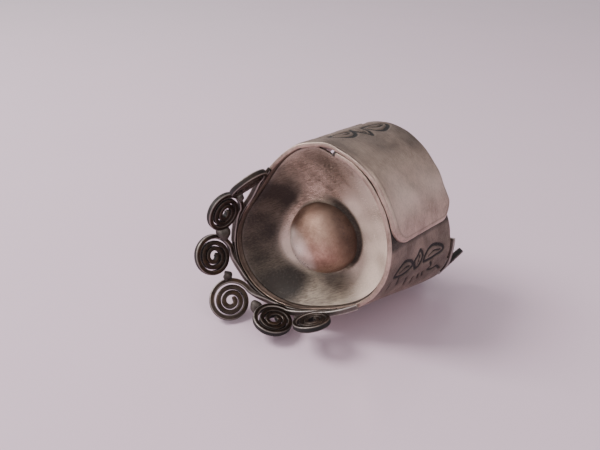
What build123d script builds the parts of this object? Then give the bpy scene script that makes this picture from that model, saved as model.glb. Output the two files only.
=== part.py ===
"""Hand-wrought silver thimble: a lapped band with a dished and domed top and a fringe of wire scrolls at each end.

Modelled in millimetres, lying on its side the way it rests: +Z up, floor at z = 0, dished top facing -Y.
Local frame used by the functions: +z along the thimble's axis out through the dished top, with z = 0 on
the near (top) edge of the band and z = -BAND_LENGTH on the far (finger) edge. Angles run from +X
towards the upper side of the thimble as it lies.
"""
from build123d import *
import math
import os

# ---- driving dimensions, mm and degrees ----------------------------------------------------------
NEAR_RADIUS = 8.2            # mean outer radius of the band at the dished top
FAR_RADIUS = 8.35            # mean outer radius at the finger end
FAR_SHIFT = (1.6, -0.3)      # the band leans sideways: centre of the finger end off the top's axis
BAND_LENGTH = 10.0           # along the axis
SHEET = 0.45                 # thickness of the band's sheet
# hammered out of round: fraction of the radius for the 2nd and 3rd harmonics (cos, sin, cos, sin)
NEAR_OUT_OF_ROUND = (-0.020, 0.118, 0.020, -0.060)
FAR_OUT_OF_ROUND = (0.000, 0.010, -0.010, -0.072)

LAP_END = 11.0               # angle of the outer flap's free end
LAP_ROOT = 82.0              # angle where the sheet climbs over its own inner end
LAP_RISE = 300.0             # wrap angle where the sheet starts to sink below the flap's line
LAP_GAP = 0.06               # air between the two layers
FLAP_CORNER = 2.0            # corner radius of the flap's free end

DISH_SHEET = 0.45            # thickness of the dished plate
DISH_RECESS = 0.35           # lip of the dish below the band's near edge
DISH_DEPTH = 2.50            # fall of the plate from its lip to the dome's hole
DISH_GAP = 0.10              # groove between plate and band
DOME_RADIUS = 3.25           # outer radius of the red metal dome in the middle of the dish
DOME_CENTRE = (-0.03, -1.04)  # dome's offset from the band's axis
DOME_SINK = 0.12             # dome's centre below the plate's hole
DOME_SHEET = 0.40
DOME_SKIRT = 0.10            # how far the dome's skirt hangs below the plate
DOME_GAP = 0.02              # fit of the dome in the plate's hole
SOLDER_FROM, SOLDER_TO = 118.0, 292.0   # the plate's solder fillet, on the scroll side
SOLDER_LEG = 0.40

SCROLL_TURNS = 2.8
SCROLL_EYE = 0.30            # radius at the start of the coil
SCROLL_LOOSE = 0.20          # how far the last half turn stands off the one inside it
RIBBON_OUTER = 0.40          # ribbon thickness at the outer turn
RIBBON_INNER = 0.31          # and at the eye
RIBBON_WIDTH = 0.50          # ribbon width, square to the coil's plane
RAIL_HEIGHT = 0.34           # running strip that the coils stand on
RAIL_WIDTH = 0.46
STAND_GAP = 0.015            # film between coil and rail
BEAD_DROP = 0.45             # solder ball's place below the line between two coils' eyes
BEAD_GAP = 0.008             # film between ball and coils
BEAD_LEAST = 0.15            # smallest ball

# angle on the rim, outward flare and outer radius of each coil
NEAR_SCROLLS = ((138.0, 4.0, 1.95), (171.0, 14.0, 2.00), (202.5, 16.0, 2.08),
                (229.0, 30.0, 2.15), (257.5, 0.0, 2.08), (289.0, -5.0, 1.97))
FAR_SCROLLS = ((330.0, 3.0, 1.97), (301.9, -9.0, 1.97), (271.7, -9.0, 1.97),
               (239.9, -9.0, 1.97), (211.3, -3.1, 1.97), (183.3, 3.9, 1.97))

AXIS_TILT = 5.0              # rise of the axis towards the dished top, as the thimble rests
STEP = 10.0                  # angle between section points


def smooth(u):
    u = min(1.0, max(0.0, u))
    return u * u * (3.0 - 2.0 * u)


def wall_radius(angle, s):
    """Outer radius of the hammered wall at an angle; s runs 0 at the near edge to 1 at the far edge."""
    a = math.radians(angle)
    mean = NEAR_RADIUS + (FAR_RADIUS - NEAR_RADIUS) * s
    c2, s2, c3, s3 = (n + (f - n) * s for n, f in zip(NEAR_OUT_OF_ROUND, FAR_OUT_OF_ROUND))
    return mean * (1 + c2 * math.cos(2 * a) + s2 * math.sin(2 * a) + c3 * math.cos(3 * a) + s3 * math.sin(3 * a))


def wall_point(angle, s, inset, z=None):
    r = wall_radius(angle, s) - inset
    a = math.radians(angle)
    x, y = r * math.cos(a) + s * FAR_SHIFT[0], r * math.sin(a) + s * FAR_SHIFT[1]
    return (x, y, -s * BAND_LENGTH if z is None else z)


def sheet_inset(theta):
    """How far the sheet's outer face lies under the wall's outer radius, along the wrap from the flap's end."""
    return (SHEET + LAP_GAP) * smooth((theta - LAP_RISE) / (360.0 + LAP_END - LAP_RISE))


def inner_inset(angle):
    """Inset of the band's innermost face at an angle on the circle, with the lap counted."""
    theta = (angle - LAP_END) % 360.0 + LAP_END
    inner = 360.0 + theta <= 360.0 + LAP_ROOT - 2.0
    return (SHEET + LAP_GAP if inner else sheet_inset(theta)) + SHEET


def spread(start, stop, step=STEP):
    n = max(2, int(round(abs(stop - start) / step)))
    return [start + (stop - start) * i / n for i in range(n + 1)]


def strip_face(start, stop, s, outer, inner, z=None):
    """Face between two insets (functions of the angle) from one angle to another."""
    angles = spread(start, stop)
    a = Spline(*[wall_point(t, s, outer(t), z) for t in angles])
    b = Spline(*[wall_point(t, s, inner(t), z) for t in reversed(angles)])
    return Face(Wire([a, Line(a @ 1, b @ 0), b, Line(b @ 1, a @ 0)]))


# ---- band ----------------------------------------------------------------------------------------
def band_sheet():
    end = 360.0 + LAP_ROOT - 3.0
    faces = [strip_face(LAP_END, end, s, sheet_inset, lambda t: sheet_inset(t) + SHEET) for s in (0.0, 1.0)]
    band = Solid.make_loft([f.outer_wire() for f in faces], ruled=True)
    for s, side in ((0.0, 1), (1.0, -1)):
        band = band - flap_corner(s, side)
    return band


def flap_corner(s, side):
    """Waste outside a rounded corner of the flap, as deep as the flap only."""
    skin = [strip_face(LAP_END - 2.0, LAP_END + 24.0, q, lambda t: -1.0, lambda t: SHEET + LAP_GAP * 0.4)
            for q in (0.0, 1.0)]
    zone = Solid.make_loft([f.outer_wire() for f in skin], ruled=True)
    x, y, z = wall_point(LAP_END, s, 0.0)
    a = math.radians(LAP_END)
    frame = Plane(origin=(x, y, z), x_dir=(-math.sin(a), math.cos(a), 0), z_dir=(math.cos(a), math.sin(a), 0))
    c = FLAP_CORNER
    square = Rectangle(c + 1.0, c + 1.0, align=(Align.MIN, Align.MIN)).moved(Location((-1.0, -1.0)))
    disc = Circle(c).moved(Location((c, c)))
    waste = square - disc - Rectangle(2 * c, 2 * c, align=(Align.MIN, Align.MIN)).moved(Location((c, 0)))
    waste = waste - Rectangle(2 * c, 2 * c, align=(Align.MIN, Align.MIN)).moved(Location((0, c)))
    if side > 0:
        waste = waste.mirror(Plane.XZ)
    prism = extrude(waste, amount=3.0, both=True)
    return zone & (frame.location * prism)


# ---- dished top ----------------------------------------------------------------------------------
def dish_inset(angle):
    """Smooth outline for the plate: clear of the band everywhere, with the groove on the lap side."""
    here = max(inner_inset(angle + d) for d in (-STEP, -STEP / 2, 0, STEP / 2, STEP))
    return here + DISH_GAP


def hole_point(angle, radius):
    """Point of a circle about the dome's axis."""
    t = math.radians(angle)
    return (DOME_CENTRE[0] + radius * math.cos(t), DOME_CENTRE[1] + radius * math.sin(t))


def between(f, z):
    """Closed outline a fraction f of the way from the plate's lip to the dome's hole."""
    out = []
    for i in range(int(360 / STEP)):
        ox, oy, _ = wall_point(STEP * i, DISH_RECESS / BAND_LENGTH, dish_inset(STEP * i))
        ex, ey = hole_point(STEP * i, DOME_RADIUS + DOME_GAP)
        out.append((ox + (ex - ox) * f, oy + (ey - oy) * f, z))
    return Wire([Spline(*out, periodic=True)])


def dish_skin(drop):
    """Closed loft under the plate's face, shifted down by drop."""
    top = -DISH_RECESS - drop
    falls = ((0.0, 0.0), (0.33, 0.52), (0.66, 0.84), (1.0, 1.0))
    return Solid.make_loft([between(f, top - DISH_DEPTH * fall) for f, fall in falls])


def dish_plate():
    rim = Solid.make_loft([between(0.0, -DISH_RECESS), between(0.0, -DISH_RECESS - DISH_SHEET)], ruled=True)
    plate = (rim + dish_skin(DISH_SHEET)) - dish_skin(0.0)
    deep = DISH_RECESS + DISH_DEPTH + 2 * DISH_SHEET
    hole = Solid.make_loft([between(1.0, 1.0), between(1.0, -deep)], ruled=True)
    return plate - hole


def top_dome():
    """Hollow dome whose skirt stands in the plate's hole."""
    hole_level = -DISH_RECESS - DISH_DEPTH
    ball = Sphere(DOME_RADIUS) - Sphere(DOME_RADIUS - DOME_SHEET)
    below = DISH_SHEET + DOME_SKIRT - DOME_SINK
    size = 2 * DOME_RADIUS
    waste = Pos(0, 0, -below) * Cylinder(size, size, align=(Align.CENTER, Align.CENTER, Align.MAX))
    return Pos(*DOME_CENTRE, hole_level - DOME_SINK) * (ball - waste)


def dish_solder():
    """Fillet of solder under the plate on the scroll side, bridging plate and band."""
    high = DISH_RECESS + DISH_SHEET + 0.64
    low = high + SOLDER_LEG
    a = strip_face(SOLDER_FROM, SOLDER_TO, high / BAND_LENGTH, lambda t: inner_inset(t) + 0.03,
                   lambda t: inner_inset(t) + 0.03 + SOLDER_LEG)
    b = strip_face(SOLDER_FROM, SOLDER_TO, low / BAND_LENGTH, lambda t: inner_inset(t) + 0.03,
                   lambda t: inner_inset(t) + 0.08)
    return Solid.make_loft([a.outer_wire(), b.outer_wire()], ruled=True)


# ---- scroll fringes ------------------------------------------------------------------------------
def coil_face(radius):
    """Flat spiral ribbon in XY, eye at the origin, its last half turn standing loose, ending at -y."""
    reach = radius - RIBBON_OUTER / 2
    n = int(SCROLL_TURNS * 14)
    outer, inner = [], []
    for i in range(n + 1):
        u = i / n
        a = -math.pi / 2 - (1 - u) * SCROLL_TURNS * 2 * math.pi
        half = (RIBBON_INNER + (RIBBON_OUTER - RIBBON_INNER) * u ** 2) / 2
        loose = SCROLL_LOOSE * smooth((u - 1 + 0.75 / SCROLL_TURNS) * SCROLL_TURNS / 0.4)
        r = SCROLL_EYE + (reach - SCROLL_LOOSE - SCROLL_EYE) * u + loose
        outer.append(((r + half) * math.cos(a), (r + half) * math.sin(a)))
        inner.append(((r - half) * math.cos(a), (r - half) * math.sin(a)))
    o = Spline(*outer)
    q = Spline(*reversed(inner))
    return Face(Wire([o, Line(o @ 1, q @ 0), q, Line(q @ 1, o @ 0)]))


def coil_plane(row, s, outward):
    """Plane of one coil: x along the rim, y away from the band, origin at the coil's eye."""
    angle, flare, radius = row
    x, y, z = wall_point(angle, s, SHEET / 2)
    a, f = math.radians(angle), math.radians(flare)
    radial = Vector(math.cos(a), math.sin(a), 0)
    axial = Vector(0, 0, outward)
    along = axial * math.cos(f) + radial * math.sin(f)
    tangent = Vector(-math.sin(a), math.cos(a), 0)
    # a flared coil leans over the rail's shoulder, so it stands off by the lean of its half width
    lift = RAIL_HEIGHT + STAND_GAP + RIBBON_WIDTH / 2 * abs(math.sin(f))
    return Plane(origin=Vector(x, y, z) + axial * lift + along * radius, x_dir=tangent, z_dir=tangent.cross(along))


def scroll(row, s, outward):
    solid = extrude(coil_face(row[2]), amount=RIBBON_WIDTH / 2, both=True)
    return coil_plane(row, s, outward).location * solid


def rail(angles, s, outward):
    z = -s * BAND_LENGTH
    inset = lambda t: sheet_inset((t - LAP_END) % 360.0 + LAP_END) + (SHEET - RAIL_WIDTH) / 2
    lo, hi = min(angles) - 9.0, max(angles) + 9.0
    a = strip_face(lo, hi, s, inset, lambda t: inset(t) + RAIL_WIDTH, z + outward * 0.005)
    b = strip_face(lo, hi, s, inset, lambda t: inset(t) + RAIL_WIDTH, z + outward * (RAIL_HEIGHT + 0.005))
    return Solid.make_loft([a.outer_wire(), b.outer_wire()], ruled=True)


def bead(first, second, s, outward):
    """Ball of solder in the notch between two neighbouring coils, on the side next to the band."""
    a, b = (coil_plane(row, s, outward) for row in (first, second))
    inward = (a.x_dir.cross(a.z_dir) + b.x_dir.cross(b.z_dir)).normalized()
    centre = (a.origin + b.origin) * 0.5 + inward * BEAD_DROP
    room = min((centre - p.origin).length - row[2] for p, row in ((a, first), (b, second))) - BEAD_GAP
    return Pos(centre) * Sphere(max(room, BEAD_LEAST))


# ---- assembly ------------------------------------------------------------------------------------
def assemble():
    parts = {"band_sheet": band_sheet(), "dish_plate": dish_plate(), "top_dome": top_dome(),
             "dish_solder": dish_solder()}
    for name, rows, s, outward in (("near", NEAR_SCROLLS, 0.0, 1), ("far", FAR_SCROLLS, 1.0, -1)):
        parts[f"{name}_rail"] = rail([r[0] for r in rows], s, outward)
        for i, row in enumerate(rows, 1):
            parts[f"{name}_scroll_{i}"] = scroll(row, s, outward)
        for i, (p, q) in enumerate(zip(rows, rows[1:]), 1):
            parts[f"{name}_bead_{i}"] = bead(p, q, s, outward)
    tilt = math.radians(AXIS_TILT)
    lie = Plane(origin=(0, 0, 0), x_dir=(1, 0, 0), z_dir=(0, -math.cos(tilt), math.sin(tilt))).location
    parts = {k: v.moved(lie) for k, v in parts.items()}
    low, high = [1e9] * 3, [-1e9] * 3
    for v in parts.values():
        box = v.bounding_box(optimal=True)
        low = [min(a, b) for a, b in zip(low, (box.min.X, box.min.Y, box.min.Z))]
        high = [max(a, b) for a, b in zip(high, (box.max.X, box.max.Y, box.max.Z))]
    drop = Location((-(low[0] + high[0]) / 2, -(low[1] + high[1]) / 2, -low[2]))
    return {k: v.moved(drop) for k, v in parts.items()}


os.makedirs("parts", exist_ok=True)
for name, shape in assemble().items():
    export_step(shape, f"parts/{name}.step")
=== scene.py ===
import logging
import math
from dataclasses import dataclass, field
from enum import Enum
from typing import Sequence, Union

import bmesh
import bpy
import numpy as np
from mathutils import Matrix, Vector


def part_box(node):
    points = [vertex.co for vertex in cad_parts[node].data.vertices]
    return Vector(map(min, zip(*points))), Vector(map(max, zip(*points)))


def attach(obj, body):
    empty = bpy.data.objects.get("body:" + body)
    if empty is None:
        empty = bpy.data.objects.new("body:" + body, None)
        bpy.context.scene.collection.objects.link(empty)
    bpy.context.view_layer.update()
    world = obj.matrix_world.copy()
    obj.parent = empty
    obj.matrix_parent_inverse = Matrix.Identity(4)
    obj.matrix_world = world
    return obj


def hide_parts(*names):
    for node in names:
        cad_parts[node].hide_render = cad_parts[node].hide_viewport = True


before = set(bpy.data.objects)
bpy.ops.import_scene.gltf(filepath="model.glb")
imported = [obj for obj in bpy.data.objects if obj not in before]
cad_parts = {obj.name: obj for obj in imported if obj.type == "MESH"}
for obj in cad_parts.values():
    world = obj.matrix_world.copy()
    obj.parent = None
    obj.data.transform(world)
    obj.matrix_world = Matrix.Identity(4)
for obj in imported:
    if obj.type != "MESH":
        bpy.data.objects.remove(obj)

LOG = logging.getLogger("thimble")
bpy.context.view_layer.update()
MM = 0.001
Triple = tuple[float, float, float]
Colour = Triple
Span = tuple[float, float]
Array = np.ndarray


# ---- shader wiring -------------------------------------------------------------------------------
class Signal:
    """A shader socket that adds Math nodes to its tree when it is used in an expression."""

    def __init__(self, tree: bpy.types.NodeTree, socket: bpy.types.NodeSocket) -> None:
        """Wraps a socket.

        Args:
            tree: The node tree that new Math nodes go into.
            socket: The output socket to read.
        """
        self.tree = tree
        self.socket = socket

    def _math(self, operation: str, *terms: "Number") -> "Signal":
        """Adds one Math node.

        Args:
            operation: The Math node's operation.
            terms: Its inputs, in order.

        Returns:
            The node's result.
        """
        node = self.tree.nodes.new("ShaderNodeMath")
        node.operation = operation
        for slot, term in zip(node.inputs, terms):
            if isinstance(term, Signal):
                self.tree.links.new(term.socket, slot)
            else:
                slot.default_value = term
        return Signal(self.tree, node.outputs[0])

    def __add__(self, other: "Number") -> "Signal":
        """Sum."""
        return self._math("ADD", self, other)

    __radd__ = __add__

    def __sub__(self, other: "Number") -> "Signal":
        """Difference."""
        return self._math("SUBTRACT", self, other)

    def __rsub__(self, other: "Number") -> "Signal":
        """Difference the other way round."""
        return self._math("SUBTRACT", other, self)

    def __mul__(self, other: "Number") -> "Signal":
        """Product."""
        return self._math("MULTIPLY", self, other)

    __rmul__ = __mul__

    def clamp(self) -> "Signal":
        """The value held between 0 and 1."""
        return self._math("MINIMUM", self._math("MAXIMUM", self, 0.0), 1.0)


Number = Union[float, Signal]


class Palette:
    """Builds the nodes of one material or surround."""

    def __init__(self, owner: Union[bpy.types.Material, bpy.types.World]) -> None:
        """Starts an empty node tree.

        Args:
            owner: The material or world that the nodes are for.
        """
        self.owner = owner
        self.owner.use_nodes = True
        self.tree = owner.node_tree
        self.tree.nodes.clear()

    def add(self, kind: str, settings: dict, values: dict) -> bpy.types.Node:
        """Adds any node but a Math node.

        Args:
            kind: The node's type.
            settings: Properties, which are set first.
            values: Values or signals for its sockets, by name or index.

        Returns:
            The new node.
        """
        node = self.tree.nodes.new(kind)
        for key, value in settings.items():
            setattr(node, key, value)
        for key, value in values.items():
            if isinstance(value, Signal):
                self.tree.links.new(value.socket, node.inputs[key])
            elif isinstance(value, tuple) and node.inputs[key].type == "RGBA":
                node.inputs[key].default_value = (*value, 1.0)
            else:
                node.inputs[key].default_value = value
        return node

    def node(self, kind: str, settings: dict, values: dict, output: Union[str, int] = 0) -> Signal:
        """Adds a node as add does, and reads one of its outputs."""
        return Signal(self.tree, self.add(kind, settings, values).outputs[output])

    def attribute(self, name: str, output: str = "Fac") -> Signal:
        """Reads a value stored on the mesh."""
        return self.node("ShaderNodeAttribute", {"attribute_name": name}, {}, output)

    def place(self, scale: float) -> Signal:
        """Position on the object, in units of 1/scale mm."""
        return self.stretched(self.node("ShaderNodeTexCoord", {}, {}, "Object"), (scale / MM,) * 3)

    def lay(self, stretch: Triple) -> Signal:
        """Position measured along and across the sheet, stretched for streaks."""
        return self.stretched(self.attribute("lay", "Vector"), stretch)

    def stretched(self, where: Signal, factors: Triple) -> Signal:
        """A position with each of its parts multiplied."""
        return self.node("ShaderNodeVectorMath", {"operation": "MULTIPLY"}, {0: where, 1: factors})

    def noise(self, where: Signal, scale: float, detail: float, rough: float = 0.6) -> Signal:
        """Fractal noise, 0 to 1."""
        values = {"Vector": where, "Scale": scale, "Detail": detail, "Roughness": rough}
        return self.node("ShaderNodeTexNoise", {}, values)

    def ramp(self, value: Signal, low: float, high: float) -> Signal:
        """0 below low and 1 above high, easing between."""
        values = {"Value": value, "From Min": low, "From Max": high}
        return self.node("ShaderNodeMapRange", {"interpolation_type": "SMOOTHSTEP"}, values)

    def mix(self, amount: Number, first: Union[Colour, Signal], second: Union[Colour, Signal]) -> Signal:
        """Blend of two colours."""
        return self.node("ShaderNodeMix", {"data_type": "RGBA"}, {0: amount, 6: first, 7: second}, 2)

    def finish(self, colour: Signal, rough: Signal, metal: Number, bump: Signal, height: float,
               fixed: dict) -> bpy.types.Material:
        """Adds the surface shader.

        Args:
            colour: Base colour.
            rough: Roughness.
            metal: Metallic.
            bump: Height for the bump, 0 to 1.
            height: What a bump of 1 measures, in mm.
            fixed: Shader sockets that are the same all over.

        Returns:
            The finished material.
        """
        values = {"Height": bump, "Distance": height * MM, "Strength": 1.0}
        normal = self.node("ShaderNodeBump", {}, values)
        values = {"Base Color": colour, "Roughness": rough, "Metallic": metal, "Normal": normal, **fixed}
        surface = self.node("ShaderNodeBsdfPrincipled", {}, values)
        self.add("ShaderNodeOutputMaterial", {}, {"Surface": surface})
        return self.owner


@dataclass(frozen=True)
class AgedMetal:
    """A worn and oxidised metal, from bright handled spots to dark hollows, with painted highlights and painted shade
    laid on from values on the mesh.
    """

    name: str
    bright: Colour
    dull: Colour
    dark: Colour
    # Colour of the painted highlights.
    glint: Colour = (0.92, 0.74, 0.63)
    rough: Span = (0.26, 0.50)
    streak: Triple = (0.6, 5.0, 1.0)
    streak_strength: float = 0.5
    patch_size: float = 2.2
    pit: float = 0.5
    grain_height: float = 0.018
    metal: float = 0.92
    # How far painted highlights take the metal away, so that they show bright from any side.
    painted_sheen: float = 0.45
    stain: Colour = (0.10, 0.085, 0.07)
    stain_amount: float = 0.35
    stain_size: float = 2.0
    fine_scale: float = 5.0
    sand_scale: float = 17.0
    streak_scale: float = 2.4
    brushed_span: Span = (0.36, 0.66)
    handled_span: Span = (0.34, 0.66)
    pit_span: Span = (0.57, 0.66)
    stain_span: Span = (0.5, 0.7)

    def build(self) -> bpy.types.Material:
        """Makes the material.

        Returns:
            A material that reads the mesh's tarnish and painted shade value, its painted highlight value and its "lay"
            value.
        """
        p = Palette(bpy.data.materials.new(self.name))
        patches = p.noise(p.place(1.0 / self.patch_size), 1.0, 5.0, 0.62)
        fine = p.noise(p.place(1.0), self.fine_scale, 6.0, 0.7)
        sand = p.noise(p.place(1.0), self.sand_scale, 3.0, 0.6)
        streaks = p.noise(p.lay(self.streak), self.streak_scale, 5.0, 0.7)
        brushed = p.ramp(streaks, *self.brushed_span)
        handled = p.ramp(patches, *self.handled_span)
        pits = p.ramp(fine * 0.6 + sand * 0.4, *self.pit_span)
        # Tarnish with painted shade, and painted highlights, as stored on the mesh.
        tarnish_and_shade = p.attribute("tarnish_and_shade")
        painted_highlight = p.attribute("painted_highlight")
        mottled = p.noise(p.place(1.0 / self.stain_size), 1.0, 4.0, 0.7)
        level = (handled * 0.55 + brushed * self.streak_strength + (fine - 0.5) * 0.8).clamp()
        base = p.mix(level, self.dull, self.bright)
        stained = p.ramp(mottled, *self.stain_span) * self.stain_amount
        base = p.mix(stained.clamp(), base, self.stain)
        base = p.mix((pits * self.pit).clamp(), base, self.dark)
        # Painted highlights in the glint colour.
        base = p.mix((painted_highlight * (0.45 + fine * 0.9)).clamp(), base, self.glint)
        # Tarnish and painted shade darken towards the dark colour.
        tarnish_and_shade_mix = (tarnish_and_shade * (0.75 + fine * 0.55)).clamp()
        base = p.mix(tarnish_and_shade_mix, base, self.dark)
        low, high = self.rough
        rough = (low + (high - low) * (1.0 - level) + tarnish_and_shade * 0.3 + pits * 0.12 - painted_highlight * 0.1).clamp()
        metal = (self.metal - tarnish_and_shade_mix * 0.85 - painted_highlight * self.painted_sheen).clamp()
        height = (0.4 * fine + 0.35 * streaks + 0.25 * sand - pits * 0.35 + 0.35).clamp()
        return p.finish(base, rough, metal, height, self.grain_height * 4.0, {"Specular IOR Level": 0.5})


class Metal(Enum):
    """The finishes on the thimble."""

    SHEET = "silver_sheet"
    DISH = "silver_dish"
    DOME = "dome_metal"
    RIBBON = "wire"
    SOLDER = "solder"


FINISHES = {
    Metal.SHEET: AgedMetal(
        "aged_silver_sheet", bright=(0.72, 0.54, 0.44), dull=(0.27, 0.195, 0.16),
        dark=(0.008, 0.006, 0.006), rough=(0.30, 0.50), streak_strength=0.32, patch_size=3.0,
        pit=0.85, grain_height=0.034,
        stain=(0.22, 0.165, 0.13), stain_amount=0.25),
    Metal.DISH: AgedMetal(
        "aged_silver_dish", bright=(0.60, 0.48, 0.37), dull=(0.20, 0.155, 0.115),
        dark=(0.030, 0.019, 0.013), glint=(0.95, 0.76, 0.64), painted_sheen=0.65, rough=(0.18, 0.36),
        streak=(0.5, 5.5, 1.0),
        streak_strength=0.95, pit=0.55, stain=(0.13, 0.115, 0.085)),
    Metal.DOME: AgedMetal(
        "tarnished_red_dome", bright=(0.70, 0.46, 0.35), dull=(0.38, 0.225, 0.165),
        dark=(0.035, 0.015, 0.010), glint=(0.95, 0.80, 0.70), rough=(0.30, 0.46),
        streak_strength=0.2, patch_size=1.6, pit=0.4,
        metal=0.9, stain=(0.28, 0.18, 0.14)),
    Metal.RIBBON: AgedMetal(
        "oxidised_ribbon", bright=(0.085, 0.062, 0.052), dull=(0.020, 0.014, 0.012),
        dark=(0.004, 0.003, 0.003), glint=(0.66, 0.58, 0.54), rough=(0.28, 0.46), streak_strength=0.15, patch_size=1.4,
        pit=0.6,
        stain=(0.09, 0.048, 0.025), stain_amount=0.5),
    Metal.SOLDER: AgedMetal(
        "grey_solder", bright=(0.24, 0.20, 0.18), dull=(0.07, 0.055, 0.048), dark=(0.012, 0.009, 0.008),
        rough=(0.30, 0.5), streak_strength=0.2, patch_size=1.0, pit=0.7),
}


# ---- mesh helpers --------------------------------------------------------------------------------
def ease(value: Array) -> Array:
    """0 to 1 with a soft start and end."""
    value = np.clip(value, 0.0, 1.0)
    return value * value * (3.0 - 2.0 * value)


def ripple(across: Array, along: Array, seed: int, waves: int = 14, reach: float = 2.0) -> Array:
    """Smooth uneven relief about 0, like hammer work.

    Args:
        across: First coordinate, mm.
        along: Second coordinate, mm.
        seed: Start of the random draws.
        waves: How many waves are added up.
        reach: Typical wave number, radians per mm.

    Returns:
        Relief, mostly within -1 to 1.
    """
    draw = np.random.default_rng(seed)
    total = np.zeros(np.broadcast(across, along).shape)
    for _ in range(waves):
        a, b = draw.normal(0.0, reach, 2)
        total = total + np.sin(a * across + b * along + draw.uniform(0.0, 2.0 * math.pi))
    return total / math.sqrt(waves)


def hammered(across: Array, along: Array, seed: int, broad: Span, fine: Span) -> Array:
    """Relief of broad blows with finer ones on top.

    Args:
        across: First coordinate, mm.
        along: Second coordinate, mm.
        seed: Start of the random draws; the finer blows take the next one.
        broad: Height and wave number of the broad blows.
        fine: Height and wave number of the finer ones.

    Returns:
        The relief.
    """
    relief = broad[0] * ripple(across, along, seed, reach=broad[1])
    return relief + fine[0] * ripple(across, along, seed + 1, 20, fine[1])


def peak(value: Array, middle: float, width: float) -> Array:
    """A smooth peak of height 1 about a middle."""
    return np.exp(-((value - middle) / width) ** 2)


@dataclass
class Piece:
    """One visible piece on its way to becoming a mesh object."""

    name: str
    metal: Metal
    nodes: tuple[str, ...]
    points: Array
    faces: list[tuple[int, ...]]
    values: dict[str, Array] = field(default_factory=dict)

    def make(self) -> bpy.types.Object:
        """Builds the object, stores its shading values and joins it to the frame.

        Returns:
            The new object.
        """
        mesh = bpy.data.meshes.new(self.name)
        mesh.from_pydata(self.points.tolist(), [], self.faces)
        mesh.update()
        count = len(self.points)
        for key in ("tarnish_and_shade", "painted_highlight"):
            layer = mesh.attributes.new(key, "FLOAT", "POINT")
            amount = np.clip(self.values.get(key, np.zeros(count)), 0, 1)
            layer.data.foreach_set("value", amount.astype(float).reshape(-1))
        lay = self.values.get("lay", self.points / MM)
        layer = mesh.attributes.new("lay", "FLOAT_VECTOR", "POINT")
        layer.data.foreach_set("vector", np.asarray(lay, float).reshape(-1))
        mesh.polygons.foreach_set("use_smooth", [True] * len(mesh.polygons))
        mesh.validate()
        piece = bpy.data.objects.new(self.name, mesh)
        bpy.context.collection.objects.link(piece)
        piece.data.materials.append(MATERIALS[self.metal])
        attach(piece, "root")
        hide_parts(*self.nodes)
        LOG.info("%s: %d points", self.name, count)
        return piece


def grid_faces(rows: int, columns: int, wrap_rows: bool, wrap_columns: bool) -> list[tuple[int, ...]]:
    """Quads over a grid of points numbered row by row.

    Args:
        rows: Number of rows.
        columns: Number of columns.
        wrap_rows: Whether the last row joins the first.
        wrap_columns: Whether the last column joins the first.

    Returns:
        The quads, with caps on the open rows where the columns wrap.
    """
    i = np.arange(rows if wrap_rows else rows - 1)
    j = np.arange(columns if wrap_columns else columns - 1)
    a, b = np.meshgrid(i, j, indexing="ij")
    a2, b2 = (a + 1) % rows, (b + 1) % columns
    quads = np.stack([a * columns + b, a2 * columns + b, a2 * columns + b2, a * columns + b2], -1)
    faces = [tuple(q) for q in quads.reshape(-1, 4).tolist()]
    if wrap_columns and not wrap_rows:
        faces.append(tuple(range(columns)))
        faces.append(tuple(reversed(range((rows - 1) * columns, rows * columns))))
    return faces


def sweep(centre: Array, wide: Array, width: Array, thick: Array, corners: int = 20) -> tuple[Array, Array]:
    """Runs a rounded bar section along a line.

    Args:
        centre: Points of the line, mm.
        wide: Unit direction of the section's width at each point.
        width: Full width at each point.
        thick: Full thickness at each point.
        corners: Points round the section.

    Returns:
        The points, row by row, and how near each is to a corner of the section, 0 to 1.
    """
    run = np.gradient(centre, axis=0)
    run /= np.linalg.norm(run, axis=1, keepdims=True)
    wide = wide - run * np.sum(wide * run, axis=1, keepdims=True)
    wide /= np.linalg.norm(wide, axis=1, keepdims=True)
    deep = np.cross(wide, run)
    t = (np.arange(corners) + 0.5) * 2.0 * math.pi / corners
    square, corner_from, corner_span = 0.42, 0.55, 0.3
    a = np.sign(np.cos(t)) * np.abs(np.cos(t)) ** square
    b = np.sign(np.sin(t)) * np.abs(np.sin(t)) ** square
    rows = (centre[:, None] + wide[:, None] * (a[None, :, None] * width[:, None, None] / 2)
            + deep[:, None] * (b[None, :, None] * thick[:, None, None] / 2))
    near_corner = ease((np.abs(a) * np.abs(b) - corner_from) / corner_span)
    return rows.reshape(-1, 3), np.tile(near_corner, len(centre))


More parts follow.
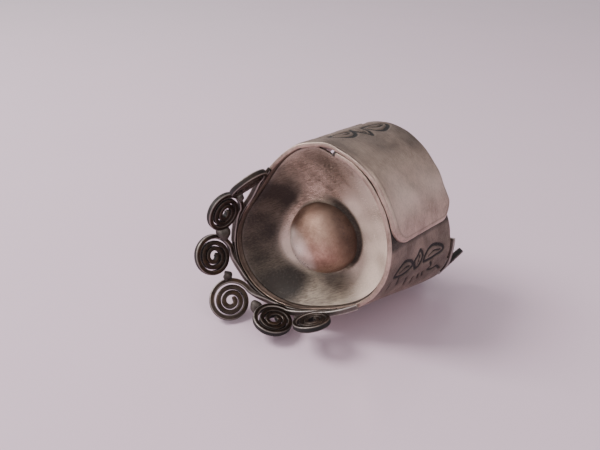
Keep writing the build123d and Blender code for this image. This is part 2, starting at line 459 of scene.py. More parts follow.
# ---- the thimble's own geometry ------------------------------------------------------------------
@dataclass
class Wall:
    """The hammered wall that everything follows, in mm about the thimble's axis."""

    near_radius: float = 8.2
    far_radius: float = 8.35
    far_shift: Span = (1.6, -0.3)
    length: float = 10.0
    sheet: float = 0.45
    near_round: tuple[float, ...] = (-0.020, 0.118, 0.020, -0.060)
    far_round: tuple[float, ...] = (0.000, 0.010, -0.010, -0.072)
    lap_end: float = 11.0
    lap_root: float = 82.0
    lap_rise: float = 300.0
    lap_gap: float = 0.06
    root_clear: float = 2.0
    axis_tilt: float = 5.0
    drop: Array = field(default_factory=lambda: np.zeros(3))

    def radius(self, angle: Array, s: Array) -> Array:
        """Outer radius of the wall, which is out of round.

        Args:
            angle: Angle about the axis, degrees.
            s: Place along the axis, 0 at the dished end to 1 at the finger end.

        Returns:
            The radius, mm.
        """
        a = np.radians(angle)
        mean = self.near_radius + (self.far_radius - self.near_radius) * s
        c2, s2, c3, s3 = (n + (f - n) * s for n, f in zip(self.near_round, self.far_round))
        oval = c2 * np.cos(2 * a) + s2 * np.sin(2 * a)
        return mean * (1 + oval + c3 * np.cos(3 * a) + s3 * np.sin(3 * a))

    def point(self, angle: Array, s: Array, inset: Array, z: Union[Array, float, None] = None) -> Array:
        """Points of the wall, an inset below its outer face.

        Args:
            angle: Angle about the axis, degrees.
            s: Place along the axis, 0 to 1.
            inset: Depth below the outer face, mm.
            z: Height, where it isn't the one that s gives.

        Returns:
            The points, mm.
        """
        angle, s, inset = np.broadcast_arrays(*(np.asarray(v, float) for v in (angle, s, inset)))
        r, a = self.radius(angle, s) - inset, np.radians(angle)
        x = r * np.cos(a) + s * self.far_shift[0]
        y = r * np.sin(a) + s * self.far_shift[1]
        z = -s * self.length if z is None else np.broadcast_to(np.asarray(z, float), s.shape)
        return np.stack([x, y, z], -1)

    def sink(self, theta: Array) -> Array:
        """How far the sheet lies under the wall's outer face, along the wrap."""
        rise = (np.asarray(theta, float) - self.lap_rise) / (360.0 + self.lap_end - self.lap_rise)
        return (self.sheet + self.lap_gap) * ease(rise)

    def inner(self, angle: Array) -> Array:
        """Inset of the band's innermost face, with the lap counted.

        Args:
            angle: Angle about the axis, degrees.

        Returns:
            The inset, mm.
        """
        theta = (np.asarray(angle, float) - self.lap_end) % 360.0 + self.lap_end
        doubled = theta <= self.lap_root - self.root_clear
        return np.where(doubled, self.sheet + self.lap_gap, self.sink(theta)) + self.sheet

    def lie(self, points: Array) -> Array:
        """Lays local points in the frame, with the thimble on its side.

        Args:
            points: Points about the thimble's axis, mm.

        Returns:
            The points in the frame, m.
        """
        t = math.radians(self.axis_tilt)
        x, y, z = points[..., 0], points[..., 1], points[..., 2]
        turned = np.stack([x, y * math.sin(t) - z * math.cos(t), y * math.cos(t) + z * math.sin(t)], -1)
        return (turned + self.drop) * MM

    def settle(self, node: str) -> None:
        """Finds where the thimble lies from the band's box in the frame.

        Args:
            node: The band's node.
        """
        theta = np.arange(self.lap_end, 360.0 + self.lap_end, 0.25)
        rims = [self.point(theta, np.full_like(theta, s), self.sink(theta)) for s in (0.0, 1.0)]
        low_here = self.lie(np.concatenate(rims)).min(axis=0)
        self.drop = (np.array(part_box(node)[0]) - low_here) / MM


@dataclass
class Motif:
    """A chased tulip: two leaves, a bud between them, and a flourish of short strokes at its foot."""

    groove: float = 0.19
    depth: float = 0.10
    crisp: float = 1.6
    half_width: float = 3.2
    height: Span = (-10.4, 0.2)
    leaf: tuple = ((0.16, -1.36), (0.85, -1.60), (1.36, -2.45), (1.12, -3.45), (0.50, -3.85),
                   (0.08, -3.0), (-0.05, -2.1), (0.16, -1.36))
    bud: tuple = ((0.0, -4.35), (0.75, -4.10), (1.35, -4.45), (1.82, -4.75), (1.25, -5.20), (0.55, -5.10),
                  (0.0, -4.75), (0.0, -4.35))
    far_leaf: tuple = ((0.35, -5.55), (1.25, -5.95), (1.62, -6.85), (1.20, -8.20), (0.62, -8.65),
                       (0.35, -7.55), (0.20, -6.50), (0.35, -5.55))
    flourish: tuple = ((-0.25, -6.9), (-0.75, -7.25), (-1.10, -6.9), (-1.35, -7.6), (-1.25, -8.4),
                       (-1.85, -9.3))
    veins: tuple = (((0.45, -1.9), (0.72, -2.6), (0.62, -3.3)), ((0.62, -6.2), (0.95, -7.0), (0.80, -8.0)),
                    ((0.45, -4.6), (1.25, -4.75)))
    strokes: tuple = (((-0.80, -3.55), (-2.05, -4.0)), ((-1.25, -4.75), (-2.15, -5.05)),
                      ((-1.20, -5.55), (-1.85, -5.85)), ((-1.15, -6.15), (-1.75, -6.45)),
                      ((-0.35, -2.2), (-1.45, -2.55)), ((-0.45, -1.2), (-1.6, -1.3)))

    def curve(self, knots: Sequence[tuple[float, float]], steps: int = 9) -> Array:
        """Smooth line through the knots.

        Args:
            knots: Points to pass through.
            steps: Samples between two knots.

        Returns:
            Points of the line.
        """
        k = np.asarray(knots, float)
        closed = np.allclose(k[0], k[-1])
        before = k[-2] if closed else 2 * k[0] - k[1]
        after = k[1] if closed else 2 * k[-1] - k[-2]
        k = np.vstack([before, k, after])
        t = np.linspace(0.0, 1.0, steps, endpoint=False)[:, None]
        spans = []
        for p0, p1, p2, p3 in zip(k, k[1:], k[2:], k[3:]):
            spans.append(0.5 * (2 * p1 + (p2 - p0) * t + (2 * p0 - 5 * p1 + 4 * p2 - p3) * t ** 2
                                + (3 * p1 - p0 - 3 * p2 + p3) * t ** 3))
        return np.vstack(spans + [k[-2][None]])

    def lines(self) -> list[tuple[Array, float]]:
        """Gathers the motif's strokes.

        Returns:
            Every stroke as points and a width factor.
        """
        groups = (((self.leaf, self.bud, self.far_leaf), 1.0), (self.veins, 0.55), ((self.flourish,), 0.8),
                  (self.strokes, 0.7))
        return [(self.curve(knots), factor) for group, factor in groups for knots in group]

    def cut(self, across: Array, along: Array, foot: float, facing: int, shift: float) -> Array:
        """Depth of the chasing over the sheet, 0 to 1.

        Args:
            across: Arc position of each point, mm.
            along: Position of each point along the axis, mm.
            foot: Arc position of the motif's foot.
            facing: +1 or -1, the way the bud points.
            shift: Offset along the axis.

        Returns:
            1 in the middle of a stroke, 0 away from it.
        """
        result = np.zeros(across.shape)
        u, v = (across - foot) * facing, along - shift
        close = (np.abs(u) < self.half_width) & (v < self.height[1]) & (v > self.height[0])
        spots = np.stack([u[close], v[close]], -1)
        best = np.zeros(len(spots))
        for line, factor in self.lines():
            gap = np.full(len(spots), 9.0)
            for p, q in zip(line, line[1:]):
                d = q - p
                f = np.clip(((spots - p) @ d) / max(float(d @ d), 1e-9), 0.0, 1.0)
                gap = np.minimum(gap, np.linalg.norm(spots - p - f[:, None] * d, axis=1))
            best = np.maximum(best, ease(self.crisp - gap / (self.groove * factor)))
        result[close] = best
        return result


@dataclass
class Band:
    """The lapped band: one sheet, chased all round but for the plain flap."""

    wall: Wall
    corner: float = 2.0
    bevel: float = 0.36
    bevel_depth: float = 0.18
    edge: float = 0.10
    root_short: float = 3.0
    end_span: float = 16.0
    end_rows: int = 60
    row_step: float = 0.45
    outer_columns: int = 118
    inner_columns: int = 30
    corner_columns: int = 5
    broad_blows: Span = (0.035, 0.8)
    fine_blows: Span = (0.012, 2.6)
    motif_feet: tuple = ((345.3, 1, 0.0), (92.0, -1, -0.6), (142.0, 1, -0.2), (196.0, -1, -0.4),
                         (246.0, 1, -0.3), (296.0, -1, -0.2))

    def section(self) -> tuple[Array, Array, Array]:
        """Works out the sheet's outline across its width.

        Returns:
            Fraction of the width, offset along it in mm, and depth in mm.
        """
        r, t = self.edge, self.wall.sheet
        turn = np.linspace(0.0, math.pi / 2, self.corner_columns)
        outer = np.linspace(0.0, 1.0, self.outer_columns)
        inner = np.linspace(1.0, 0.0, self.inner_columns)
        side = np.ones(2 * self.corner_columns)
        first, second = r * (1 - np.cos(turn)), t - r + r * np.sin(turn)
        w = np.concatenate([outer, side, inner, 0 * side])
        o = np.concatenate([0 * outer, -r * np.sin(turn), -r * np.cos(turn), 0 * inner, r * np.sin(turn),
                            r * np.cos(turn)])
        d = np.concatenate([0 * outer, first, second, t + 0 * inner, t - first, r - r * np.sin(turn)])
        return w, o, d

    def build(self) -> None:
        """Makes the band."""
        wall = self.wall
        arc = wall.far_radius * math.pi / 180.0
        end = 360.0 + wall.lap_root - self.root_short
        close_rows = np.linspace(0, 1, self.end_rows) ** 1.6 * self.end_span
        theta = np.concatenate([wall.lap_end + close_rows,
                                np.arange(wall.lap_end + (self.end_span + 0.4), end, self.row_step)])
        w, o, d = self.section()
        from_end = (theta - wall.lap_end) * arc
        inside = np.clip(self.corner - from_end, 0.0, self.corner)
        cut = self.corner - np.sqrt(self.corner ** 2 - inside ** 2)
        top, bottom = -cut, -wall.length + cut
        r = self.edge
        z = (top - r)[:, None] + w * (bottom - top + 2 * r)[:, None] + o
        s = -z / wall.length
        end_gap = from_end[:, None] + 0 * z
        side_gap = np.minimum(-z, z + wall.length)
        qx, qy = self.corner - end_gap, self.corner - side_gap
        rim = np.where((qx > 0) & (qy > 0), self.corner - np.hypot(qx, qy), np.minimum(end_gap, side_gap))
        outer = (d < 1e-6)[None, :] & (z < 1)
        share = np.clip(1.0 - d / wall.sheet, 0.0, 1.0)[None, :]
        on_flap = 0.3 + 0.7 * ease((84.0 - theta) / 10.0)[:, None]
        bevelled = self.bevel_depth * on_flap * (1.0 - ease(rim / self.bevel)) * share
        across = theta[:, None] * arc + 0 * z
        relief = hammered(across, z, 3, self.broad_blows, self.fine_blows)
        chased = np.zeros(z.shape)
        motif = Motif()
        for foot, facing, shift in self.motif_feet:
            chased = np.maximum(chased, motif.cut(across, z, foot * arc, facing, shift))
        chased = chased * outer
        depth = d[None, :] + bevelled + relief + motif.depth * chased
        points = wall.point(theta[:, None] + 0 * z, s, wall.sink(theta)[:, None] + depth, z)
        # Tarnish gathers in the chasing. Painted shade lies beside and under the lap, inside, on the inner end, in a
        # line beside the flap's bevel, and above and below the flap.
        under = (theta - 360.0 - wall.lap_end)[:, None] * arc + 0 * z
        gloom = peak(np.minimum(under, 0.0), -0.1, 0.85) * (under < 0.5) * outer
        mist = 0.5 + 0.5 * ripple(across, z, 5, reach=1.0)
        upper = 0.72 * ease((theta - 52.0) / 16.0) * ease((150.0 - theta) / 30.0)
        lower = 0.70 * ease((theta - 300.0) / 40.0)
        painted_upper_and_lower_shade = ((upper + lower)[:, None] * (0.75 + 0.2 * mist)) * outer
        buried = (theta > 360.0 + wall.lap_end + 2.0)[:, None] & outer
        inside_face = (d > wall.sheet - 1e-6)[None, :] & (z < 1)
        inner_end = (theta > theta[-1] - 1.6)[:, None]
        beside_bevel = 0.30 * peak(rim, 0.45, 0.08) * outer * (on_flap > 0.9)
        tarnish_and_shade = np.maximum.reduce([chased, 0.85 * gloom, 0.9 * buried, 0.35 * inside_face, painted_upper_and_lower_shade,
                                   0.9 * inner_end + 0 * z, beside_bevel])
        # Painted highlight on the flap's middle and along its bevel.
        painted_sheen = 0.62 * peak(theta, 38.0, 16.0)[:, None] * outer * (0.5 + 0.6 * mist)
        painted_highlight = np.maximum(0.35 * ease(1.0 - np.abs(rim - 0.06) / 0.09) * (share > 0.35), painted_sheen) * ~buried
        lay = np.stack([across, z, d[None, :] + 0 * z], -1)
        Piece("band", Metal.SHEET, ("band_sheet",), wall.lie(points).reshape(-1, 3),
              grid_faces(len(theta), len(w), False, True),
              {"tarnish_and_shade": tarnish_and_shade, "painted_highlight": painted_highlight, "lay": lay}).make()


@dataclass
class Dish:
    """The dished plate, the dome in its middle and the solder that holds it."""

    wall: Wall
    sheet: float = 0.45
    recess: float = 0.35
    depth: float = 2.50
    gap: float = 0.10
    dome_radius: float = 3.25
    dome_centre: Span = (-0.03, -1.04)
    dome_sink: float = 0.12
    dome_sheet: float = 0.40
    foot: float = 0.12
    plump: float = 0.12
    solder_span: Span = (118.0, 292.0)
    solder_leg: float = 0.40
    solder_clear: float = 0.64
    face_rings: int = 60
    under_rings: int = 16
    curve: float = 1.85
    lip_roll: float = 0.14
    fall_scale: float = 4.5
    streak_angle: float = 28.0
    face_blows: tuple[Span, Span] = ((0.030, 0.9), (0.010, 3.0))
    dome_blows: tuple[Span, Span] = ((0.007, 1.0), (0.003, 3.0))
    dome_light: Triple = (-0.55, -0.35, 0.78)

    def lip_inset(self, angle: Array) -> Array:
        """Inset of the plate's edge, clear of the band and eased over its steps.

        Args:
            angle: Angle about the axis, degrees.

        Returns:
            The inset, mm.
        """
        def widest(a: Array) -> Array:
            """The largest inset of the band within a few degrees."""
            return np.max([self.wall.inner(a + k) for k in range(-7, 8)], axis=0)
        return np.mean([widest(angle + k) for k in np.linspace(-5, 5, 11)], axis=0) + self.gap

    def plate(self) -> None:
        """Makes the plate."""
        angle = np.arange(0.0, 360.0, 0.8)
        lip = self.wall.point(angle, self.recess / self.wall.length, self.lip_inset(angle))[:, :2]
        f = np.concatenate([np.linspace(0.0, 1.0, self.face_rings), np.linspace(1.0, 0.0, self.under_rings)])
        top = np.arange(len(f)) < self.face_rings
        low = np.where(top, 0.0, self.sheet)
        roll = self.lip_roll * np.exp(-(f * 14.0) ** 2) * top
        raised = self.foot * ease((f - 0.86) / 0.14) ** 2 * top
        z = (-self.recess - self.depth * (1.0 - (1.0 - f) ** self.curve) - low - roll + raised)[None, :]
        facing = np.radians(angle)[:, None]
        hole = self.dome_radius - 0.04
        eye = np.stack([self.dome_centre[0] + hole * np.cos(facing[:, 0]),
                        self.dome_centre[1] + hole * np.sin(facing[:, 0])], -1)
        plan = lip[:, None] * (1 - f)[None, :, None] + eye[:, None] * f[None, :, None]
        px, py = plan[..., 0], plan[..., 1]
        blows = hammered(px, py, 11, *self.face_blows) * np.sin(math.pi * f)[None, :]
        nick = np.exp(-((angle[:, None] - 66.0) / 1.4) ** 2 - ((f[None, :] - 0.17) / 0.06) ** 2)
        points = np.concatenate([plan, (z + blows - 0.08 * nick)[..., None]], -1)
        # Painted shade lies on the left and upper walls, on the bottom wall, in a ring round the dome's foot and
        # underneath; a painted shadow of the dome falls on its right; the nick is darkened.
        tone = 0.5 + 0.5 * ripple(px, py, 13, reach=0.9)
        part = f[None, :]
        left = np.cos(facing - math.radians(195.0))
        shade = 0.95 * ease((left - 0.10) / 0.5) * ease((0.86 - part) / 0.28) * (0.82 + 0.25 * tone)
        above = 0.32 * ease((np.sin(facing) - 0.3) / 0.5) * ease((0.8 - part) / 0.5)
        shade = shade + above * (0.6 + 0.6 * tone)
        painted_bottom_shade = 0.50 * ease((-np.sin(facing) - 0.45) / 0.4) * ease((1.05 - part) / 0.3)
        painted_bottom_shade = painted_bottom_shade * (0.7 + 0.5 * tone)
        painted_foot_ring_shade = 0.75 * np.exp(-((1.0 - part) * 4.0 / 0.22) ** 2)
        painted_dome_shadow = 0.95 * ease((np.cos(facing - math.radians(25.0)) - 0.1) / 0.6) * ease((part - 0.78) / 0.10)
        tarnish_and_shade = np.maximum.reduce([shade, painted_foot_ring_shade + 0 * shade, painted_dome_shadow, 0.6 * nick, painted_bottom_shade])
        tarnish_and_shade = tarnish_and_shade + (~top)[None, :] * 0.3
        # Painted highlights lie on the lip, on the right wall, on a patch below the dome on the left and faintly on
        # the bottom wall; the patch also clears the painted shade there.
        painted_lip_highlight = 0.45 * peak(part * self.fall_scale, 0.08, 0.09) * top[None, :]
        right = 0.95 * ease((np.cos(facing - math.radians(8.0)) - 0.25) / 0.5) * ease((0.90 - part) / 0.12)
        painted_highlight_patch = np.exp(-((facing - math.radians(214.0)) / 0.42) ** 2 - ((part - 0.76) / 0.15) ** 2)
        painted_bottom_sheen = 0.12 * ease((-np.sin(facing) - 0.5) / 0.4) * tone
        painted_highlight = np.maximum.reduce([painted_lip_highlight + 0 * shade, right * (0.65 + 0.5 * tone), 1.6 * painted_highlight_patch, painted_bottom_sheen])
        tarnish_and_shade = tarnish_and_shade * (1.0 - 0.95 * np.clip(painted_highlight_patch * 1.3, 0, 1))
        c, n = math.cos(math.radians(self.streak_angle)), math.sin(math.radians(self.streak_angle))
        lay = np.stack([px * c + py * n, py * c - px * n, part * self.fall_scale + 0 * px], -1)
        Piece("dished_top", Metal.DISH, ("dish_plate",), self.wall.lie(points).reshape(-1, 3),
              grid_faces(len(angle), len(f), True, True),
              {"tarnish_and_shade": tarnish_and_shade, "painted_highlight": painted_highlight, "lay": lay}).make()

    def dome(self) -> None:
        """Makes the dome, a hollow cap with a short skirt."""
        angle = np.arange(0.0, 360.0, 1.5)
        drop = math.degrees(math.asin((self.sheet - self.dome_sink + 0.1) / self.dome_radius))
        polar = np.radians(np.concatenate([np.linspace(0.6, 90 + drop, 70), np.linspace(90 + drop, 0.6, 24)]))
        outer = np.arange(len(polar)) < 70
        radius = np.where(outer, self.dome_radius + self.plump, self.dome_radius - self.dome_sheet)[None, :]
        t = np.radians(angle)[:, None]
        flat = radius * np.sin(polar)[None, :]
        x, y = flat * np.cos(t), flat * np.sin(t)
        z = radius * np.cos(polar)[None, :] + 0 * x
        swell = 1.0 + hammered(x, y, 21, *self.dome_blows) * outer
        x, y, z = x * swell, y * swell, z * swell
        level = -self.recess - self.depth - self.dome_sink
        points = np.stack([x + self.dome_centre[0], y + self.dome_centre[1], z + level], -1)
        # Painted highlight on the side toward dome_light, and painted shade on the side away from it and low on the
        # dome by its foot.
        lx, ly, lz = self.dome_light
        toward = (lx * x + ly * y + lz * z) / self.dome_radius
        tone = 0.5 + 0.5 * ripple(x, y, 23, reach=1.6)
        tarnish_and_shade = 0.85 * ease((0.60 - toward) / 0.95) * (0.92 + 0.12 * tone)
        tarnish_and_shade = np.maximum(tarnish_and_shade, 0.55 * ease((0.40 - z / self.dome_radius) / 0.5)) * outer
        painted_highlight = 1.0 * ease((toward - 0.66) / 0.3) * (0.55 + 0.7 * tone) * outer
        faces = grid_faces(len(angle), len(polar), True, False)
        faces.append(tuple(reversed([i * len(polar) for i in range(len(angle))])))
        faces.append(tuple(i * len(polar) + len(polar) - 1 for i in range(len(angle))))
        Piece("dome", Metal.DOME, ("top_dome",), self.wall.lie(points).reshape(-1, 3), faces,
              {"tarnish_and_shade": tarnish_and_shade, "painted_highlight": painted_highlight}).make()

    def solder(self) -> None:
        """Makes the solder fillet under the plate."""
        angle = np.linspace(*self.solder_span, 240)
        high = self.recess + self.sheet + self.solder_clear + self.solder_leg / 2
        uneven = ripple(angle * 0.14, 0 * angle, 31, reach=1.6)
        inset = self.wall.inner(angle) + 0.24 + 0.03 * uneven
        centre = self.wall.point(angle, high / self.wall.length, inset)
        a = np.radians(angle)
        wide = np.stack([np.cos(a), np.sin(a), 0 * a], -1)
        size = self.solder_leg * (0.95 + 0.12 * uneven)
        points, _ = sweep(centre, wide, size, size, 12)
        Piece("plate_solder", Metal.SOLDER, ("dish_solder",), self.wall.lie(points),
              grid_faces(len(angle), 12, False, True), {"tarnish_and_shade": np.full(len(points), 0.3)}).make()

    def build(self) -> None:
        """Makes the three pieces."""
        self.plate()
        self.dome()
        self.solder()


class End(Enum):
    """Which rim a fringe stands on: its name, its place along the wall and its way out."""

    NEAR = ("near", 0.0, 1)
    FAR = ("far", 1.0, -1)


@dataclass
class Coil:
    """One scroll: where it stands on the rim, how far it leans out, and its radius."""

    angle: float
    flare: float
    radius: float


@dataclass
class Fringe:
    """The scrolls, the strip that they stand on and the solder between them, at one rim."""

    wall: Wall
    end: End
    coils: tuple[Coil, ...]
    turns: float = 3.1
    eye: float = 0.30
    loose: float = 0.10
    outer: float = 0.50
    width: float = 0.56
    rail_height: float = 0.34
    rail_width: float = 0.46
    stand: float = 0.015
    tail: float = 3.6
    lump_grow: float = 0.20
    corners: int = 20
    coil_rows: int = 190
    tail_rows: int = 40
    rail_corners: int = 16
    rail_rows: int = 320
    rail_past: float = 9.0

    def axes(self, angle: Array, lean: Array) -> tuple[Array, Array, Array]:
        """Works out the directions at places on the rim.

        Args:
            angle: Angle about the axis, degrees.
            lean: How far a coil leans out there, radians.

        Returns:
            Round the rim, out along the leaning coil, and out along the axis.
        """
        a = np.radians(angle)
        tangent = np.stack([-np.sin(a), np.cos(a), 0 * a], -1)
        radial = np.stack([np.cos(a), np.sin(a), 0 * a], -1)
        axial = np.broadcast_to(np.array([0.0, 0.0, float(self.end.value[2])]), radial.shape)
        along = axial * np.cos(lean)[..., None] + radial * np.sin(lean)[..., None]
        return tangent, along, axial

    def lift(self, coil: Coil) -> float:
        """How far a coil's foot stands off the rim."""
        return self.rail_height + self.stand + self.width / 2 * abs(math.sin(math.radians(coil.flare)))

    def scroll(self, index: int, coil: Coil) -> None:
        """Makes one coil with its running end.

        Args:
            index: Its number on this rim, from 1.
            coil: The coil.
        """
        draw = np.random.default_rng(100 * (1 + (self.end is End.FAR)) + index)
        s = self.end.value[1]
        lean = math.radians(coil.flare)
        tangent, along, axial = (v[0] for v in self.axes(np.array([coil.angle]), np.array([lean])))
        side = np.cross(tangent, along)
        foot = self.wall.point(np.array([coil.angle]), np.array([s]), np.array([self.wall.sheet / 2]))[0]
        origin = foot + axial * self.lift(coil) + along * coil.radius
        u = np.linspace(0.0, 1.0, self.coil_rows)
        a = -math.pi / 2 - (1 - u) * self.turns * 2 * math.pi
        stand_off = self.loose * ease((u - 1 + 0.75 / self.turns) * self.turns / 0.4)
        reach = coil.radius - self.outer / 2
        pitch = (reach - self.loose - self.eye) / self.turns
        thick = pitch * (0.84 + 0.10 * u ** 2)
        r = self.eye + (reach - self.loose - self.eye) * u + stand_off
        phase = draw.uniform(0, 2 * math.pi, 3)
        r = r + 0.022 * np.sin(2 * a + phase[0]) * ease(u * 3) * ease((1 - u) * 6)
        bow = (0.05 * np.sin(a + phase[1]) + 0.10 * draw.uniform(-1, 1) * (1 - u)) * ease((1 - u) * 5)
        line = origin + np.outer(r * np.cos(a), tangent) + np.outer(r * np.sin(a), along)
        line = line + np.outer(bow, side)
        # The ribbon runs on from the coil's foot and sinks onto the strip.
        q = np.linspace(0.0, 1.0, self.tail_rows)[1:] * self.tail
        rim = coil.angle + np.degrees(q / float(self.wall.radius(coil.angle, s)))
        ease_out = 1 - ease(q / 2.2)
        round_rim, away, out = self.axes(rim, lean * ease_out)
        lowered = (self.rail_height - 0.02) * ease(q / (self.tail * 0.92))
        sunk = 0.5 * self.wall.sink(rim % 360) * ease(q / 2)
        foot = self.wall.point(rim, s, self.wall.sheet / 2 + sunk)
        rise = self.rail_height + self.stand + (self.lift(coil) - self.rail_height - self.stand) * ease_out
        tail = foot + out * (rise - lowered)[:, None] + away * (self.outer / 2)
        centre = np.vstack([line, tail])
        turned = np.cross(round_rim, away)
        wide = np.vstack([np.tile(side, (len(line), 1)), turned])
        tip = 0.45 + 0.55 * ease(np.arange(len(centre)) / 5.0)
        taper = np.concatenate([thick, self.outer * (1 - 0.55 * ease(q / self.tail))]) * tip
        widths = self.width * (0.97 + 0.05 * np.sin(np.linspace(0, 17, len(centre)) + phase[2])) * tip
        points, corner = sweep(centre, wide, widths, taper, self.corners)
        # Painted highlights on the ribbon's corners, strongest on the outer turn, and faintly on the running end;
        # painted shade on its faces between the turns, less on the outer turn and none on the running end.
        order = np.repeat(np.concatenate([u, np.ones(len(q))]), self.corners)
        on_tail = np.repeat(np.concatenate([0 * u, ease(q / 0.8)]), self.corners)
        painted_highlight = corner * (0.10 + 0.80 * ease((order - 0.66) / 0.3)) + 0.15 * on_tail
        t = np.tile((np.arange(self.corners) + 0.5) * 2 * math.pi / self.corners, len(centre))
        flank = ease((np.abs(np.sin(t)) - 0.8) / 0.2)
        tarnish_and_shade = flank * (0.95 - 0.55 * ease((order - 0.80) / 0.15)) * (1 - on_tail)
        name = f"{self.end.value[0]}_scroll_{index}"
        Piece(f"{name}_ribbon", Metal.RIBBON, (name,), self.wall.lie(points),
              grid_faces(len(centre), self.corners, False, True), {"tarnish_and_shade": tarnish_and_shade, "painted_highlight": painted_highlight}).make()

    def rail(self) -> None:
        """Makes the strip of running ends under the coils."""
        name, s, out = self.end.value
        angles = [c.angle for c in self.coils]
        angle = np.linspace(min(angles) - self.rail_past, max(angles) + self.rail_past, self.rail_rows)
        theta = (angle - self.wall.lap_end) % 360.0 + self.wall.lap_end
        lumps = ripple(angle * 0.14, 0 * angle, 41 + int(s), reach=1.8)
        inset = self.wall.sink(theta) + self.wall.sheet / 2 + 0.012 * lumps
        height = self.rail_height * (0.93 + 0.05 * lumps)
        centre = self.wall.point(angle, s, inset, -s * self.wall.length) + np.outer(height / 2, [0, 0, out])
        a = np.radians(angle)
        wide = np.stack([np.cos(a), np.sin(a), 0 * a], -1)
        width = self.rail_width * (0.98 + 0.03 * lumps)
        points, corner = sweep(centre, wide, width, height, self.rail_corners)
        # Painted highlights on the strip's corners and a little painted shade on its flat faces.
        Piece(f"{name}_running_ends", Metal.RIBBON, (f"{name}_rail",), self.wall.lie(points),
              grid_faces(len(angle), self.rail_corners, False, True),
              {"painted_highlight": 0.7 * corner, "tarnish_and_shade": 0.25 - 0.25 * corner}).make()

    def ball(self) -> tuple[Array, list[tuple[int, ...]]]:
        """Makes a ball of radius 1.

        Returns:
            Its points and faces.
        """
        mesh = bpy.data.meshes.new("lump")
        shape = bmesh.new()
        bmesh.ops.create_icosphere(shape, subdivisions=4, radius=1.0)
        shape.to_mesh(mesh)
        shape.free()
        points = np.array([v.co[:] for v in mesh.vertices])
        faces = [tuple(p.vertices) for p in mesh.polygons]
        bpy.data.meshes.remove(mesh)
        return points, faces

    def solder(self) -> None:
        """Makes the lump of solder between each two coils."""
        name, s, _ = self.end.value
        ball, faces = self.ball()
        for index in range(1, len(self.coils)):
            node = f"{name}_bead_{index}"
            low, high = (np.array(v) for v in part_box(node))
            centre = (low + high) / 2
            size = float(max(high - low)) / 2 / MM + self.lump_grow
            seed = 60 + index + 10 * int(s)
            swell = 1 + 0.16 * ripple(ball[:, 0] * 2, ball[:, 1] * 2 + ball[:, 2], seed, 8, 1.2)
            points = centre + ball * swell[:, None] * size * MM
            Piece(f"{node}_solder", Metal.SOLDER, (node,), points, faces,
                  {"tarnish_and_shade": np.full(len(points), 0.35)}).make()

    def build(self) -> None:
        """Makes the whole fringe."""
        self.rail()
        for index, coil in enumerate(self.coils, 1):
            self.scroll(index, coil)
        self.solder()


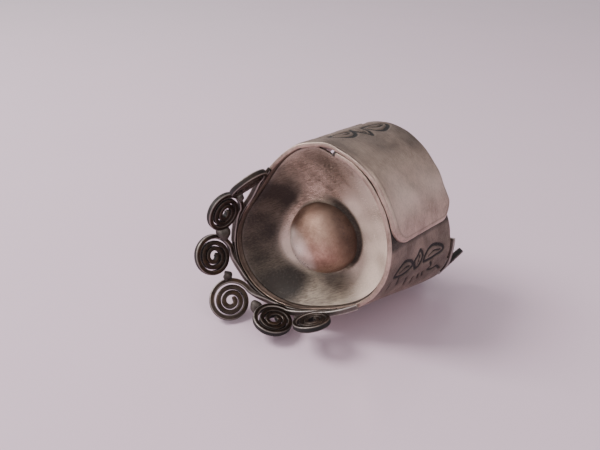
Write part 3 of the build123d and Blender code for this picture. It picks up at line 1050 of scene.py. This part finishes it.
# ---- studio --------------------------------------------------------------------------------------
@dataclass
class Studio:
    """Camera, floor and light.

    The camera's bearing, height and roll are in degrees. It stands away mm from the middle of the near
    rim, which lies aside mm right of and above the middle of its view.
    """

    wall: Wall
    bearing: float = 32.59
    height: float = 30.34
    roll: float = -0.13
    lens: float = 34.8918
    sensor: float = 36.0
    away: float = 51.00595
    aside: Span = (0.88236, -1.15602)
    floor_colour: Colour = (0.72, 0.55, 0.65)

    def camera(self) -> tuple[Vector, Vector]:
        """Places the camera.

        Returns:
            The camera's right and back directions.
        """
        turn, rise, roll = (math.radians(v) for v in (self.bearing, self.height, self.roll))
        level = Vector((math.cos(turn), math.sin(turn), 0))
        back = Vector((math.sin(turn) * math.cos(rise), -math.cos(turn) * math.cos(rise), math.sin(rise)))
        over = back.cross(level)
        right = math.cos(roll) * level + math.sin(roll) * over
        up = math.cos(roll) * over - math.sin(roll) * level
        offset = right * self.aside[0] + up * self.aside[1] - back * self.away
        data = bpy.data.cameras.new("view")
        data.sensor_width = self.sensor
        data.lens = self.lens
        data.clip_start = MM
        camera = bpy.data.objects.new("view", data)
        turned = Matrix((right, up, back)).transposed().to_4x4()
        turned.translation = (Vector(self.wall.drop) - offset) * MM
        camera.matrix_world = turned
        bpy.context.collection.objects.link(camera)
        bpy.context.scene.camera = camera
        return right, back

    def floor(self) -> None:
        """Lays the pale glossy table."""
        half = 1.5
        mesh = bpy.data.meshes.new("table")
        corners = [(-half, -half, 0), (half, -half, 0), (half, half, 0), (-half, half, 0)]
        mesh.from_pydata(corners, [], [(0, 1, 2, 3)])
        table = bpy.data.objects.new("table", mesh)
        bpy.context.collection.objects.link(table)
        p = Palette(bpy.data.materials.new("table_top"))
        cloud = p.noise(p.place(0.05), 1.0, 2.0)
        base = p.mix(cloud, self.floor_colour, tuple(v * 1.03 for v in self.floor_colour))
        rough = cloud * 0.02 + 0.20
        mesh.materials.append(p.finish(base, rough, 0.0, cloud, 0.001, {"Specular IOR Level": 0.42}))

    def lamp(self, name: str, toward: Vector, distance: float, size: float, power: float,
             colour: Colour) -> None:
        """Hangs a soft square lamp that faces the thimble.

        Args:
            name: The lamp's name.
            toward: Direction from the thimble to the lamp.
            distance: How far away it hangs, m.
            size: Its side, m.
            power: Its power, W.
            colour: Its colour.
        """
        data = bpy.data.lights.new(name, "AREA")
        data.energy, data.size, data.color = power, size, colour
        lamp = bpy.data.objects.new(name, data)
        toward = toward.normalized()
        lamp.location = toward * distance + Vector((0, 0, 0.008))
        lamp.rotation_euler = toward.to_track_quat("Z", "Y").to_euler()
        bpy.context.collection.objects.link(lamp)

    def sky(self, right: Vector) -> None:
        """Sets the soft surround, brighter on one side.

        Args:
            right: The camera's right direction; the surround is brighter away from it and above.
        """
        world = bpy.data.worlds.new("surround")
        bpy.context.scene.world = world
        p = Palette(world)
        brighter = (-right + Vector((0, 0, 0.35))).normalized()
        where = p.node("ShaderNodeTexCoord", {}, {}, "Generated")
        dot = {"operation": "DOT_PRODUCT"}
        facing = p.node("ShaderNodeVectorMath", dot, {0: where, 1: brighter}, "Value")
        span = {"Value": facing, "From Min": -0.7, "From Max": 0.8, "To Min": 0.34, "To Max": 0.95}
        strength = p.node("ShaderNodeMapRange", {}, span)
        ground = p.node("ShaderNodeBackground", {}, {"Color": (1.0, 0.97, 0.99), "Strength": strength})
        p.add("ShaderNodeOutputWorld", {}, {"Surface": ground})

    def build(self) -> None:
        """Sets the whole studio."""
        right, back = self.camera()
        self.floor()
        self.sky(right)
        flat_back = Vector((back.x, back.y, 0)).normalized()
        key = -right * 0.70 - flat_back * 0.10 + Vector((0, 0, 0.80))
        fill = right * 0.7 + flat_back * 0.9 + Vector((0, 0, 0.7))
        self.lamp("key", key, distance=0.28, size=0.11, power=0.80, colour=(1.0, 0.98, 0.97))
        self.lamp("fill", fill, distance=0.35, size=0.16, power=0.22, colour=(1.0, 0.96, 0.93))


MATERIALS = {kind: finish.build() for kind, finish in FINISHES.items()}
NEAR_COILS = (Coil(138.0, 4.0, 2.05), Coil(171.0, 14.0, 2.14), Coil(202.5, 16.0, 2.24),
              Coil(229.0, 30.0, 2.30), Coil(257.5, 0.0, 2.20), Coil(289.0, -5.0, 2.08))
FAR_RADIUS = 1.97
FAR_COILS = tuple(Coil(angle, flare, FAR_RADIUS) for angle, flare in (
    (330.0, 3.0), (301.9, -9.0), (271.7, -9.0), (239.9, -9.0), (211.3, -3.1), (183.3, 3.9)))


def main() -> None:
    """Builds the thimble and its studio."""
    logging.basicConfig(level=logging.INFO)
    wall = Wall()
    wall.settle("band_sheet")
    LOG.info("rim centre at %s mm", wall.drop)
    Studio(wall).build()
    Band(wall).build()
    Dish(wall).build()
    Fringe(wall, End.NEAR, NEAR_COILS).build()
    Fringe(wall, End.FAR, FAR_COILS).build()


if __name__ == "__main__":
    main()
